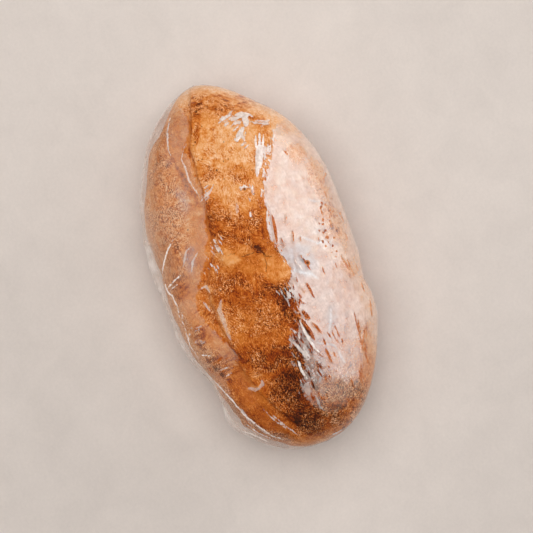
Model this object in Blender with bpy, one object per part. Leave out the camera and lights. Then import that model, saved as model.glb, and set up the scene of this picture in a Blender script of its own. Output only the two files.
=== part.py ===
"""An oval sourdough loaf wrapped tight in clear film, modelled as one solid out to the film.

Metres, +Z up. X runs along the loaf from its golden end to its dark end, Y runs across it towards the
plain flank, and the origin is the middle of the base. The film follows the crust, bridges its hollows,
and stands off it in a low skirt along the folded flank (-Y), where it was drawn down and tucked under.
"""

import math

import bmesh
import bpy
from mathutils import Matrix, Vector, noise

# Driving dimensions
LENGTH = 0.300
WIDTH = 0.1615
HEIGHT = 0.098

# The belt is the height at which the loaf is widest and where its two tips lie
HALF_LENGTH = LENGTH / 2
HALF_WIDTH = WIDTH / 2
BELT_HEIGHT = 0.42 * HEIGHT
TOP_RISE = HEIGHT - BELT_HEIGHT
UNDER_DROP = 1.18 * BELT_HEIGHT

# The plan outline, (1 - u ** PLAN_POWER) ** exponent for a share u of the half length: a smaller
# exponent is a blunter end, so the golden end is the more pointed one
PLAN_POWER = 2.6
PLAN_EXPONENT = 0.535
PLAN_EXPONENT_TURN = 0.085

# Powers of the other rounded outlines: 2 is an ellipse, and more is squarer
CROWN_POWER = 2.25
UNDER_PLAN_POWER = 3.0
TOP_SECTION_POWER = 2.4
UNDER_SECTION_POWER = 2.5

# The plan's departures from that outline, each as (station along X, how far out, how far it spreads)
PLAIN_FLANK_BULGES = (
    (0.064, 0.0025, 0.018),
    (0.036, -0.0030, 0.011),
)
FOLDED_FLANK_BULGES = (
    (0.080, -0.0080, 0.024),
    (-0.100, -0.0015, 0.018),
)

# The skirt of film along the folded flank, and its wider gathers in the same form
SKIRT_REACH = 0.0035
SKIRT_HEIGHT = 0.026
SKIRT_SPREAD = 0.016
SKIRT_GATHERS = (
    (-0.126, 0.0035, 0.012),
    (-0.016, 0.0025, 0.024),
    (0.116, 0.0085, 0.011),
)
PLEAT_PITCH = 0.019
PLEAT_SWAY = 2.2
PLEAT_SWAY_PITCH = 0.130
PLEAT_DEPTH = 0.0011

# The long fold where the top crust laps over the folded flank
FOLD_OFFSET_GOLDEN = 0.0215
FOLD_OFFSET_DARK = 0.0380
FOLD_TURN = 0.007
FOLD_CREST = 0.0016
FOLD_CREST_SPREAD = 0.010
FOLD_HOLLOW_DEPTH = 0.0052
FOLD_HOLLOW_SPREAD = 0.0105

# The shallow dip across the top, beside the crack, and the slow lumps of hand-shaped dough
DIP_STATION = 0.004
DIP_SPREAD = 0.012
DIP_DEPTH = 0.0016
LUMP_SIZE = 0.046
LUMP_DEPTH = 0.0018

# Facets along the loaf and round it
RINGS = 80
SEGMENTS = 60

# The crust as it looks through the film, warm brown under a gloss
CRUST_COLOUR = (0.50, 0.24, 0.09, 1.0)
FILM_ROUGHNESS = 0.25
FILM_GLOSS = 0.6


def bell(distance, spread):
    """Smooth bump, 1 at no distance and near 0 past twice the spread."""
    return math.exp(-((distance / spread) ** 2))


def bumps(x, rows):
    """Sum of the bumps of a table of (station, height, spread) at the station x."""
    return sum(height * bell(x - station, spread) for station, height, spread in rows)


def taper(x, power):
    """Share of the middle's size that is left at the station x, 0 at the tips."""
    return max(0.0, 1 - abs(x / HALF_LENGTH) ** power) ** (1 / power)


def plan_taper(x):
    """Share of the middle's width that is left at the station x, 0 at the tips."""
    exponent = PLAN_EXPONENT - PLAN_EXPONENT_TURN * x / HALF_LENGTH
    return max(0.0, 1 - abs(x / HALF_LENGTH) ** PLAN_POWER) ** exponent


def half_width(x, across):
    """How far the crust reaches from the middle line at the belt, on the side that across points to."""
    share = plan_taper(x)
    flank = PLAIN_FLANK_BULGES if across > 0 else FOLDED_FLANK_BULGES
    inset = 0.0 if across > 0 else SKIRT_REACH
    return (HALF_WIDTH - inset) * share + bumps(x, flank) * share


def rounded(part, power):
    """A sine or cosine bent from a circle's outline to that of a squarer round of this power."""
    return math.copysign(abs(part) ** (2 / power), part)


def fold_line(x):
    """Where the long fold runs across the loaf at the station x."""
    turn = 0.5 + 0.5 * math.tanh(x / FOLD_TURN)
    offset = FOLD_OFFSET_GOLDEN + (FOLD_OFFSET_DARK - FOLD_OFFSET_GOLDEN) * turn
    return -offset * plan_taper(x)


def fold_relief(x, y):
    """Height that the fold adds: a soft crest on the lapping crust, and a hollow beside it."""
    past = fold_line(x) - y
    crest = FOLD_CREST * bell(past, FOLD_CREST_SPREAD)
    if past <= 0:
        return crest
    share = past / FOLD_HOLLOW_SPREAD
    return crest - FOLD_HOLLOW_DEPTH * share * math.exp(1 - share)


def skirt(x, z):
    """How far the film stands off the folded flank, with its pleats."""
    share = plan_taper(x)
    reach = (SKIRT_REACH + bumps(x, SKIRT_GATHERS)) * share
    sway = PLEAT_SWAY * math.sin(2 * math.pi * x / PLEAT_SWAY_PITCH)
    pleats = PLEAT_DEPTH * math.sin(2 * math.pi * x / PLEAT_PITCH + sway) * share
    return (reach + pleats) * bell(z - SKIRT_HEIGHT, SKIRT_SPREAD)


def loaf_point(direction):
    """Point of the wrapped loaf for a unit direction, whose X gives the station along the loaf."""
    x = HALF_LENGTH * direction.x
    around = math.atan2(direction.z, direction.y)
    across, up = math.cos(around), math.sin(around)
    over = up >= 0
    power = TOP_SECTION_POWER if over else UNDER_SECTION_POWER
    rise = TOP_RISE * taper(x, CROWN_POWER) if over else UNDER_DROP * taper(x, UNDER_PLAN_POWER)
    y = half_width(x, across) * rounded(across, power)
    z = BELT_HEIGHT + rise * rounded(up, power)
    if over:
        relief = fold_relief(x, y) - DIP_DEPTH * bell(x - DIP_STATION, DIP_SPREAD)
        z += relief * up * taper(x, CROWN_POWER)
    if across < 0:
        y -= skirt(x, z) * rounded(-across, power)
    lump = LUMP_DEPTH * noise.noise(Vector((x, y, z)) / LUMP_SIZE)
    return Vector((x, y + lump * across, max(0.0, z + lump * up)))


def centre_on_base(mesh):
    """Moves the mesh so that the middle of its plan lies on the origin, and its base at height 0."""
    spans = [[v.co[axis] for v in mesh.vertices] for axis in range(3)]
    middle = [(min(span) + max(span)) / 2 for span in spans]
    mesh.transform(Matrix.Translation((-middle[0], -middle[1], -min(spans[2]))))


def crust_material():
    """Brown crust under the gloss of clear film."""
    material = bpy.data.materials.new("crust_under_film")
    material.use_nodes = True
    surface = material.node_tree.nodes["Principled BSDF"]
    surface.inputs["Base Color"].default_value = CRUST_COLOUR
    surface.inputs["Roughness"].default_value = FILM_ROUGHNESS
    surface.inputs["Metallic"].default_value = 0.0
    surface.inputs["Coat Weight"].default_value = FILM_GLOSS
    return material


def wrapped_loaf(collection):
    """The whole wrapped loaf: a sphere with its poles at the tips, shaped point by point."""
    shape = bmesh.new()
    bmesh.ops.create_uvsphere(shape, u_segments=SEGMENTS, v_segments=RINGS, radius=1.0)
    bmesh.ops.rotate(shape, verts=shape.verts, matrix=Matrix.Rotation(math.pi / 2, 3, "Y"))
    for vertex in shape.verts:
        vertex.co = loaf_point(vertex.co)
    bmesh.ops.recalc_face_normals(shape, faces=shape.faces)
    mesh = bpy.data.meshes.new("wrapped_loaf")
    shape.to_mesh(mesh)
    shape.free()
    centre_on_base(mesh)
    mesh.shade_smooth()
    mesh.materials.append(crust_material())
    loaf = bpy.data.objects.new("wrapped_loaf", mesh)
    collection.objects.link(loaf)
    return loaf


def main():
    for old in list(bpy.data.objects):
        bpy.data.objects.remove(old)
    parts = bpy.data.collections.new("sourdough_loaf")
    bpy.context.scene.collection.children.link(parts)
    wrapped_loaf(parts)


main()
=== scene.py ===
import math

import bpy
import numpy as np
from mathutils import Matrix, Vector, bvhtree


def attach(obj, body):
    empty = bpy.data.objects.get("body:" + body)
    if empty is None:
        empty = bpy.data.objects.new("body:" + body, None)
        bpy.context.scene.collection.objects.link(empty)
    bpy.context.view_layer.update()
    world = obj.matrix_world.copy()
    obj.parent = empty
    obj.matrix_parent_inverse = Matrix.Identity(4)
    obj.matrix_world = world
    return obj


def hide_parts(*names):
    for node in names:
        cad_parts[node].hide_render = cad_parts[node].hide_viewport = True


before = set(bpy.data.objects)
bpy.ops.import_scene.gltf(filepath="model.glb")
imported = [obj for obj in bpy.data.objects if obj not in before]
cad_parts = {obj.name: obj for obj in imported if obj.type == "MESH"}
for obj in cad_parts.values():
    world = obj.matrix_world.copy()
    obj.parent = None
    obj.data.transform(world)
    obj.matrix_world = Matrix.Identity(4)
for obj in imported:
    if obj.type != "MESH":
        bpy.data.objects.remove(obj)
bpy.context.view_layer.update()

# A sourdough loaf wrapped in clear film. x runs along the loaf to its dark end, y across it to the
# plain flank, z up. A place on it is in mm as the camera sees it on the loaf's middle plane, or, where
# its note says so, in pixels of the photo, read from it.

mm = 0.001

cameraSetup = {
    "height": 1.035,          # m above the floor, straight down
    "middle": (4.1, 8.4),     # mm, what the middle of the picture looks at
    "turn": 71.0,             # degrees, the loaf's length against the picture's right
    "lens": 85.0,
    "sensor": 36.0,
    "picture": 533,           # pixels across the photo, which is square
    "seenPlane": 35.0,        # mm up, where a mm on the picture is a mm on the loaf
}

gridSetup = {
    "rings": 366,             # bands from tip to tip
    "spokes": 268,            # points round each band
    "spine": 95.0,            # mm, half the line inside the loaf that the bands are cast from
    "spineHeight": 42.0,
    "topShare": 0.85,         # how much closer the points lie on top than below
    "topBend": (3.0, 0.9),    # how sharply that changes round a band, and how far down it begins
    "trials": 240,            # rays that the spacing is measured with, and radians kept clear of the tips
    "tipTurn": 0.02,
    "smooth": 3.2,            # points that the cast form is evened out over
    # the golden end's shoulder is slimmer in the photo: pixels, reach in pixels, mm that it moves
    "shoulder": ((250, 90), (46, 26), (3.3, -2.9)),
    "onTop": (-0.15, 0.25),   # upward share of the surface's direction, from under the loaf to its top
    "upward": (0.16, 0.40),   # and from the steep sides, where a mark from the photo would smear
}


def smoothStep(low, high, value):
    t = np.clip((value - low) / (high - low), 0.0, 1.0)
    return t * t * (3 - 2 * t)


noiseGain = 1.6               # brings the noise to about -1 to 1


def softNoise(x, y, z, cell, seed):
    # gradient noise from about -1 to 1, the same on every run
    draw = np.random.default_rng(seed)
    order = draw.permutation(256)
    order = np.concatenate([order, order])
    slopes = draw.normal(size=(256, 3))
    slopes /= np.linalg.norm(slopes, axis=1)[:, None]
    place = np.stack(np.broadcast_arrays(x, y, z), -1) / cell
    corner = np.floor(place).astype(int)
    part = place - corner
    fade = part * part * part * (part * (part * 6 - 15) + 10)
    total = np.zeros(part.shape[:-1])
    for dx in (0, 1):
        for dy in (0, 1):
            for dz in (0, 1):
                pick = order[order[order[(corner[..., 0] + dx) & 255] + ((corner[..., 1] + dy) & 255)]
                             + ((corner[..., 2] + dz) & 255)]
                away = part - np.array((dx, dy, dz))
                share = ((fade[..., 0] if dx else 1 - fade[..., 0])
                         * (fade[..., 1] if dy else 1 - fade[..., 1])
                         * (fade[..., 2] if dz else 1 - fade[..., 2]))
                total += share * (slopes[pick] * away).sum(-1)
    return total * noiseGain


def layeredNoise(x, y, z, cell, seed, layers=3):
    # each layer is half as coarse as the last and about half as strong
    total, size, amount = 0.0, 1.0, 0.0
    for layer in range(layers):
        total = total + size * softNoise(x, y, z, cell / 2 ** layer, seed + layer)
        amount += size
        size *= 0.55
    return total / amount


def blurred(values, reach, axis, wrap):
    # even out a grid of numbers over a few points, round the ring or from tip to tip
    span = int(math.ceil(reach * 3))
    weights = np.exp(-0.5 * (np.arange(-span, span + 1) / reach) ** 2)
    weights /= weights.sum()
    mode = "wrap" if wrap else "edge"
    pads = [(0, 0)] * values.ndim
    pads[axis] = (span, span)
    wide = np.pad(values, pads, mode=mode)
    total = np.zeros_like(values)
    for step, weight in enumerate(weights):
        cut = [slice(None)] * values.ndim
        cut[axis] = slice(step, step + values.shape[axis])
        total += weight * wide[tuple(cut)]
    return total


def castForm(node, setup):
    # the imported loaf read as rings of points, evened out so that its facets don't show
    mesh = node.data
    corners = [v.co.copy() for v in mesh.vertices]
    faces = [tuple(p.vertices) for p in mesh.polygons]
    tree = bvhtree.BVHTree.FromPolygons(corners, faces)

    def rays(turns, angles):
        # they start along the spine, and lean outward more and more near its ends
        along = -np.cos(turns)
        lean = -np.cos(turns) ** 3
        starts = np.stack([setup["spine"] * along, 0 * along, 0 * along + setup["spineHeight"]], -1) * mm
        flat = np.sqrt(1 - lean ** 2)
        ways = np.stack(np.broadcast_arrays(
            lean[:, None], flat[:, None] * np.cos(angles), flat[:, None] * np.sin(angles)), -1)
        reach = np.zeros(ways.shape[:2])
        for i in range(ways.shape[0]):
            start = Vector(starts[i])
            for j in range(ways.shape[1]):
                hit = tree.ray_cast(start, Vector(ways[i, j]))
                reach[i, j] = hit[3] if hit[3] is not None else np.nan
        return starts[:, None, :], ways, reach

    # space the rings evenly over the surface, and the spokes closer on top
    trial = np.linspace(setup["tipTurn"], math.pi - setup["tipTurn"], setup["trials"])
    starts, ways, reach = rays(trial, np.radians(np.array((0.0, 90.0, 180.0))))
    lines = starts + ways * reach[..., None]
    steps = np.linalg.norm(np.diff(lines, axis=0), axis=-1).mean(1)
    run = np.concatenate([[0], np.cumsum(steps)])
    turns = np.interp(np.linspace(0, run[-1], setup["rings"]), run, trial)
    trial = np.linspace(0, 2 * math.pi, 3 * setup["trials"] + 1)
    starts, ways, reach = rays(np.array([math.pi / 2]), trial)
    line = (starts + ways * reach[..., None])[0]
    sharp, lower = setup["topBend"]
    density = 1 + setup["topShare"] * np.tanh(sharp * np.sin(trial[:-1]) + lower)
    run = np.concatenate([[0], np.cumsum(np.linalg.norm(np.diff(line, axis=0), axis=-1) * density)])
    angles = np.interp(np.linspace(0, run[-1], setup["spokes"], endpoint=False), run, trial)

    starts, ways, reach = rays(turns, angles)
    reach = blurred(reach, setup["smooth"], 1, True)
    reach = blurred(reach, setup["smooth"], 0, False)
    points = (starts + ways * reach[..., None]) / mm
    steps = (points[0] - points[1], points[-1] - points[-2])
    tips = [points[0].mean(0) + steps[0].mean(0) / 2, points[-1].mean(0) + steps[1].mean(0) / 2]
    return points, np.array(tips)


def facing(points):
    # outward directions of a ring grid
    along = np.gradient(points, axis=0)
    around = np.roll(points, -1, axis=1) - np.roll(points, 1, axis=1)
    out = np.cross(around, along)
    out /= np.maximum(np.linalg.norm(out, axis=-1, keepdims=True), 1e-9)
    return out


def seenPlace(points):
    # where the camera sees each point, in mm on the loaf's middle plane
    middle = np.array(cameraSetup["middle"])
    height = cameraSetup["height"] / mm
    shrink = (height - cameraSetup["seenPlane"]) / (height - points[..., 2:3])
    place = middle + (points[..., :2] - middle) * shrink
    return place[..., 0], place[..., 1]


def photoPlace(points):
    # the picture's pixel that each point falls on, in its 533 x 533 frame
    turn = math.radians(cameraSetup["turn"])
    dx = points[..., 0] - cameraSetup["middle"][0]
    dy = points[..., 1] - cameraSetup["middle"][1]
    away = cameraSetup["height"] / mm - points[..., 2]
    zoom = cameraSetup["lens"] / cameraSetup["sensor"] * cameraSetup["picture"] / away
    right = dx * math.cos(turn) + dy * math.sin(turn)
    up = -dx * math.sin(turn) + dy * math.cos(turn)
    half = cameraSetup["picture"] / 2
    return half + right * zoom, half - up * zoom


def gridMesh(name, points, tips, layers):
    rings, spokes = points.shape[:2]
    corners = np.concatenate([points.reshape(-1, 3), tips]) * mm
    faces = []
    first, last = rings * spokes, rings * spokes + 1
    for i in range(rings - 1):
        for j in range(spokes):
            k = (j + 1) % spokes
            faces.append((i * spokes + j, (i + 1) * spokes + j, (i + 1) * spokes + k, i * spokes + k))
    end = (rings - 1) * spokes
    for j in range(spokes):
        k = (j + 1) % spokes
        faces.append((first, j, k))
        faces.append((last, end + k, end + j))
    mesh = bpy.data.meshes.new(name)
    mesh.from_pydata(corners.tolist(), [], faces)
    for label, values in layers.items():
        layer = mesh.attributes.new(label, "FLOAT", "POINT")
        flat = np.concatenate([values.ravel(), [values[0].mean(), values[-1].mean()]])
        layer.data.foreach_set("value", flat.astype(np.float32))
    mesh.shade_smooth()
    piece = bpy.data.objects.new(name, mesh)
    bpy.context.scene.collection.objects.link(piece)
    return piece


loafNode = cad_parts["wrapped_loaf"]
form, formTips = castForm(loafNode, gridSetup)
(px, py), (reachX, reachY), move = gridSetup["shoulder"]
photoX, photoY = photoPlace(form)
pull = np.exp(-((photoX - px) / reachX) ** 2 - ((photoY - py) / reachY) ** 2)
form[..., :2] += pull[..., None] * np.array(move)
formOut = facing(form)
seenX, seenY = seenPlace(form)
photoX, photoY = photoPlace(form)
onLoaf, onPhoto = (seenX, seenY), (photoX, photoY)
formX, formY, formZ = form[..., 0], form[..., 1], form[..., 2]
faceUp = formOut[..., 2]
onTop = smoothStep(*gridSetup["onTop"], faceUp)
upward = smoothStep(*gridSetup["upward"], faceUp)
print("form read from the packed loaf:", form.shape[0], "rings of", form.shape[1])


# Where the film over the folded flank stands off the crust and looks milky, in the photo's pixels
milkySetup = {
    "edge": (                 # that stretch's right edge, y and x
        (100, 172), (112, 184), (120, 190), (136, 187), (150, 184), (165, 191), (179, 195), (190, 201),
        (203, 205), (230, 206), (240, 208), (252, 206), (262, 206), (272, 203), (285, 199), (300, 196),
        (312, 199), (322, 205), (330, 214), (345, 228), (354, 238), (362, 236), (372, 231), (385, 226),
        (402, 232), (420, 248), (432, 267), (440, 290)),
    "wobble": 1.6,            # how far all such edges stray, and the cells of that, across and down
    "wobbleCells": (3.0, 9.0),
    "sway": (0.8, 14.0),      # a slower sway's share and cell
    "bandEdge": (-1.0, 2.0),  # past that edge lies a band that bridges the fold: where it begins and how
    "band": (30.0, 12.0),     # far it reaches, and its lower end
    "bandEnd": (372.0, 350.0),
    "warmEdge": (-2.0, 4.0),  # the folded flank's own looks fade in over this
}


def milkyEdge(setup):
    across, down = setup["wobbleCells"]
    share, cell = setup["sway"]
    sway = softNoise(photoX / across, photoY / down, 0, 1.0, 91)
    sway += share * softNoise(photoX, photoY, 0, cell, 92)
    edge = np.array(setup["edge"], float)
    past = np.interp(photoY, edge[:, 0], edge[:, 1]) - photoX - setup["wobble"] * sway
    band = smoothStep(*setup["bandEdge"], past) * smoothStep(*setup["band"], past)
    band = band * smoothStep(*setup["bandEnd"], photoY) * onTop
    return setup["wobble"] * sway, past, band, smoothStep(*setup["warmEdge"], past)


edgeWobble, milkyPast, foldBand, foldedFlank = milkyEdge(milkySetup)


# The crust

crustSetup = {
    "gap": 1.2,               # mm between film and crust where they lie together on top, and at the sides
    "sideGap": 0.75,
    "clear": 0.65,            # share of it that the crust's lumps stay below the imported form
    "gapRows": (              # mm that the film stands off the folded flank: (x, how far, spread)
        (-128.0, 6.0, 13.0),
        (-88.0, 4.4, 28.0),
        (-22.0, 6.5, 26.0),
        (45.0, 4.5, 36.0),
        (112.0, 8.5, 17.0),
        (140.0, 4.0, 12.0),
    ),
    "foldLine": (             # mm, where the top crust laps over the folded flank, (x, y)
        (-150, -2), (-125, -10), (-107, -19), (-87, -20), (-70, -20), (-58, -22), (-42, -26),
        (-22, -27), (-10, -34), (6, -43), (31, -43), (48, -41), (71, -37), (99, -29), (131, -9), (150, 0),
    ),
    "foldWander": (1.2, 11.0),       # mm that it strays, and over how many
    "foldDrop": 3.4,          # mm, the step down past the fold
    "foldRun": (-0.4, 3.0),   # mm past it where the step begins and ends, and where its hollow ends
    "foldHollow": 19.8,
    "foldCrest": (0.8, -2.0, 3.5),   # mm high, how far past, how wide
    "foldEnds": (150.0, 128.0),      # mm along the loaf over which it dies out
    # directions of the surface: outward shares from the middle to the folded flank, and upward shares
    # down to that flank, up from the underside, and from the sides up to the top
    "towardFold": (0.05, -0.55),
    "downToFold": (0.95, 0.45),
    "offUnder": (-0.95, -0.3),
    "sideToTop": (0.3, 0.75),
    "lumps": ((14.0, 0.55), (30.0, 0.7)),      # mm across and high, as the next two are
    "crackle": (4.6, 0.22),
    "plates": (0.35, 0.6),    # how wide the crackle's lines are, and its middle height
    "grain": (2.2, 0.10),
    "cracks": (               # lines in the photo's pixels, with half their widths
        (0.8, (236, 259), (244, 256.6), (248, 255), (252, 254), (258, 249)),
        (1.3, (253, 245), (258, 249), (262, 252), (267, 255)), (0.8, (261, 251), (265, 256), (276, 257)),
        (2.2, (256, 246), (261, 250)), (0.9, (272, 243), (277, 251), (282, 254), (289, 263)),
        (0.62, (264, 254), (267, 264), (266, 272), (269, 278)), (0.7, (255, 249), (250, 245), (242, 243)),
        (0.5, (331, 308), (331, 326), (331, 342)),
        (0.7, (315, 343), (326, 343.8), (334, 345), (338, 349), (341, 356), (346, 364)),
        (0.45, (310, 200), (316, 201.6), (321, 200)), (0.5, (318, 243), (327, 241), (333, 238)),
        (0.5, (226, 257), (231, 254), (239, 254)), (0.5, (213, 272), (219, 268), (224, 267)),
        (1.1, (278, 287), (284, 296), (288, 307)), (1.1, (282, 304), (286, 314), (293, 323)),
        (1.2, (314, 378), (315, 384), (313, 391)), (1.1, (300, 320), (309, 334), (317, 346)),
        (1.0, (270, 282), (276, 287), (284, 290)), (0.6, (294, 318), (300, 330), (306, 340)),
    ),
    "crackDepth": 0.9,
    # mm: x, y, across, deep or high
    "pitRows": ((9.0, 37.5, 2.0, 2.6), (110.0, 14.5, 2.6, 3.2), (104.0, 17.0, 1.5, 2.0)),
    "lumpRow": (11.0, 21.0, 9.5, 1.2),
    "lumpEdge": (1.15, 0.6),  # shares of its width
    "poreSpots": (            # the photo's pixels, and mm across
        (194.6, 141.6, 0.9), (197.8, 159.8, 0.8), (216.5, 169.8, 1.2), (208.5, 166, 0.8),
        (240.8, 167.2, 0.9), (223.6, 160.8, 0.8), (228, 158.7, 0.7), (257.8, 149.6, 0.8),
        (240.5, 178.8, 1.0), (195.8, 111, 1.2), (297.6, 211, 0.8), (214, 198.5, 0.9), (239, 203, 0.8),
        (244.8, 188.7, 1.3), (169, 192, 0.8), (157, 190, 0.7), (308, 262.5, 1.6), (316, 384, 2.0),
        (314, 388, 1.6), (343, 342, 1.2), (187, 230, 1.0), (172, 224, 0.8),
    ),
    "pores": 60,              # strewn over the top, mm across and deep
    "poreSize": (0.45, 0.7),
    "poreDepth": 0.8,
    "poreReach": 5,           # points of the grid that one pore can touch
    "tipMargin": 20,          # rings at the tips without pores
    "soften": 0.2,            # mm over which lumps flatten below the film
    "evenOver": 6,            # points that its inward direction is evened out over
    "lowest": 0.9,            # mm up
    "tipShare": 0.985,
    "seed": 12,
}

# how far each stretch of crust is baked: x, y, length, width, turn, bake, strength, how far its edge strays
bakeRows = (                  # least 0, most 1
    (-88, 8, 44, 34, 4, 0.15, 1.0, 9),        # golden top
    (-60, 14, 18, 20, 0, 0.24, 0.8, 8),
    (-132, 14, 12, 46, -6, 0.24, 0.9, 5),     # golden end's cap
    (-29, 1, 17, 22, 20, 0.42, 1.0, 8),       # brown patch before the crack
    (-8, -22, 12, 11, 0, 0.30, 0.9, 5), (14, -9, 16, 24, 0, 0.56, 0.9, 8),
    (10, 22, 9, 9, 0, 0.27, 0.95, 3),         # round lump past the crack
    (1, 3, 6, 10, 30, 0.34, 0.8, 3),
    (52, -12, 20, 24, 8, 0.44, 0.95, 9),      # orange, speckled
    (32, 18, 20, 8, 52, 0.74, 0.95, 6),       # dark band from the lump
    (56, 20, 22, 8, 6, 0.72, 0.9, 6), (76, -8, 12, 24, -30, 0.60, 0.9, 8),
    (104, 4, 36, 19, -6, 0.80, 1.0, 8),       # the dark end
    (84, 18, 26, 12, 0, 0.74, 0.9, 8), (122, 20, 22, 22, 0, 0.74, 0.85, 9),
    (126, 40, 22, 20, -20, 0.42, 0.85, 8),
    (96, -39, 40, 12, 14, 0.46, 1.0, 4),      # smooth orange stretch beside it
    (126, -30, 20, 10, 30, 0.52, 0.9, 5),
    (60, 54, 60, 20, 0, 0.36, 0.8, 10),       # under the pale reflection
    (-30, 52, 70, 24, 0, 0.24, 0.8, 10),
    (-60, -48, 60, 22, 0, 0.27, 0.9, 8),      # folded flank
    (30, -60, 50, 18, 0, 0.28, 0.8, 8),
)
# and the same for smaller stretches, in the photo's pixels; some are painted highlights, painted rim light
# and painted shade, as noted
bakeAndPaintedLightSpots = (
    (316, 200, 40, 100, -24, 0.20, 0.7, 8),   # under the pale reflection
    (318, 310, 26, 50, -14, 0.38, 0.85, 8), (296, 195, 18, 46, -16, 0.22, 0.85, 8),
    (342, 352, 16, 34, -8, 0.30, 0.8, 6),
    (370, 300, 10, 30, 8, 0.20, 0.9, 4),       # plain flank's rim, lightened as painted rim light
    (358, 338, 10, 24, -8, 0.28, 0.8, 4),
    (225, 99, 40, 9, 8, 0.24, 0.8, 4),        # golden end's cap; the first spot on the next line lightens its upper edge as painted rim light
    (226, 92, 34, 4, 8, 0.10, 0.8, 2), (272, 113, 26, 7, 30, 0.14, 0.8, 4),
    (183, 118, 11, 6, 20, 0.42, 0.8, 3), (196, 115, 4, 4, 0, 0.52, 0.8, 2),
    (197, 132, 3, 14, 4, 0.46, 0.8, 2), (256, 116, 9, 3, 10, 0.52, 0.9, 2),
    (247, 138, 9, 15, 0, 0.13, 0.8, 5),       # light patches of the golden top
    (232, 190, 15, 7, 0, 0.15, 0.8, 5), (215, 152, 13, 9, -20, 0.19, 0.7, 5),
    (206, 173, 14, 8, 15, 0.34, 0.8, 5), (236, 171, 10, 7, 10, 0.33, 0.8, 5),
    (243, 178, 8, 3, 5, 0.44, 0.8, 3), (210, 206, 9, 7, 10, 0.44, 0.9, 5),
    (242, 206, 10, 9, 0, 0.22, 0.9, 5), (240, 232, 16, 8, 15, 0.42, 0.8, 5),
    (275, 230, 4, 18, -6, 0.32, 0.8, 3), (215, 222, 11, 12, 20, 0.42, 0.8, 5),
    (262, 218, 6, 18, 0, 0.48, 0.8, 4),
    (230, 259, 11, 8, 0, 0.12, 0.9, 4),        # pale dough by the crack
    (246, 250, 12, 5, -10, 0.26, 0.9, 3),
    (259, 249, 7, 5, 25, 0.74, 0.95, 2),      # dark hollow at the crack's head
    (250, 272, 13, 12, 0, 0.35, 0.8, 5),
    (276, 269, 13, 14, 0, 0.25, 0.95, 3),     # round lump
    (262, 286, 10, 5, 30, 0.40, 0.7, 3), (232, 290, 26, 18, 20, 0.50, 0.85, 6),
    (276, 291, 13, 4, 25, 0.70, 0.9, 3), (287, 300, 9, 11, 30, 0.72, 0.9, 3),
    (277, 306, 5, 7, -10, 0.42, 0.8, 3), (240, 322, 20, 11, 10, 0.36, 0.85, 6),
    (273, 334, 17, 15, 30, 0.46, 0.8, 6), (300, 330, 6, 18, -30, 0.66, 0.8, 3),
    (250, 358, 14, 12, 30, 0.58, 0.8, 6), (282, 364, 18, 13, 30, 0.68, 0.8, 6),
    (294, 386, 14, 15, 40, 0.90, 0.9, 5), (332, 386, 18, 16, 10, 0.42, 0.9, 5),
    (312, 394, 7, 12, -20, 0.40, 0.8, 3), (272, 396, 12, 9, 40, 0.74, 0.8, 5),
    (306, 421, 20, 11, 15, 0.95, 0.95, 5), (336, 416, 16, 10, -30, 0.62, 0.9, 5),
    (252, 392, 14, 26, -38, 0.42, 0.95, 4),   # smooth orange stretch
    (282, 426, 16, 6, 28, 0.46, 0.8, 3), (357, 400, 10, 24, 24, 0.47, 0.95, 4),
    # painted highlights: the cream spots from 281, 136 to 333, 246 lighten the crust under the pale side
    (364, 366, 7, 20, 0, 0.34, 0.8, 4), (281, 136, 12, 8, 30, 0.03, 0.9, 4),
    (297, 153, 10, 8, 30, 0.20, 0.9, 4), (282, 173, 5, 5, 0, 0.10, 0.9, 3),
    (303, 175, 5, 5, 0, 0.08, 0.9, 3), (319, 176, 5, 6, 0, 0.10, 0.9, 3), (289, 191, 5, 5, 0, 0.12, 0.8, 3),
    (293, 211, 5, 4, 0, 0.12, 0.8, 3), (318, 204, 8, 5, 20, 0.14, 0.8, 3),
    (333, 246, 9, 7, 20, 0.12, 0.8, 4),
    (156, 158, 4, 5, 0, 0.56, 0.9, 2),        # folded flank
    (157, 174, 3, 3, 0, 0.50, 0.8, 2), (168, 164, 3, 3, 0, 0.50, 0.6, 2),
    (176, 249, 3, 6, -8, 0.46, 0.9, 2), (176, 290, 13, 15, -30, 0.36, 0.8, 4),
    (183, 205, 6, 13, -15, 0.22, 0.7, 3), (190, 260, 5, 11, 0, 0.52, 0.6, 3),
    (220, 366, 18, 9, 38, 0.27, 0.95, 3),
    (204, 363, 3, 2.4, 30, 0.80, 0.9, 1),     # hollows of the gathered film, darkened as painted shade
    (213, 371, 3.6, 2.4, 30, 0.82, 0.9, 1), (220, 377, 3.2, 2.2, 30, 0.80, 0.9, 1),
    (228, 382, 3, 2, 30, 0.76, 0.9, 1), (232, 348, 3, 12, -45, 0.50, 0.8, 3),
    (214, 352, 14, 8, 40, 0.27, 0.8, 4), (222, 344, 6, 12, -40, 0.25, 0.8, 3),
)
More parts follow.
